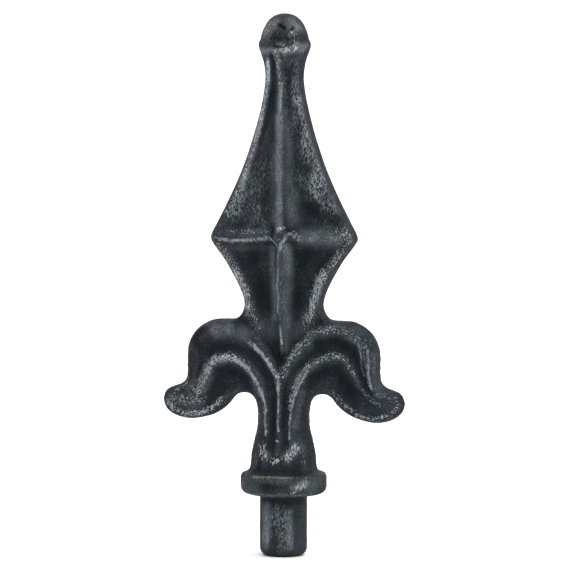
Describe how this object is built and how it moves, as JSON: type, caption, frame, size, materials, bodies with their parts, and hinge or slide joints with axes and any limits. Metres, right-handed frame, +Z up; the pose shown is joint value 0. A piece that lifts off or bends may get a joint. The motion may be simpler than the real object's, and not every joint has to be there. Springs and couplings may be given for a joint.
{
  "type": "fence spike",
  "caption": "Solid cast fence spike: ribbed lozenge blade with a ball tip over scrolled fleur-de-lis arms, on a round collar and a plain round spigot.",
  "frame": {"origin": "centre of the flat end of the spigot, on the spike's axis", "axes": "+Z up along the spigot and the blade, +X across the arms, -Y out of the face that the picture shows"},
  "size_m": [0.0826, 0.0288, 0.1813],
  "materials": {
    "iron": "satin"
  },
  "bodies": {
    "root": {"spike": "iron"}
  },
  "joints": []
}
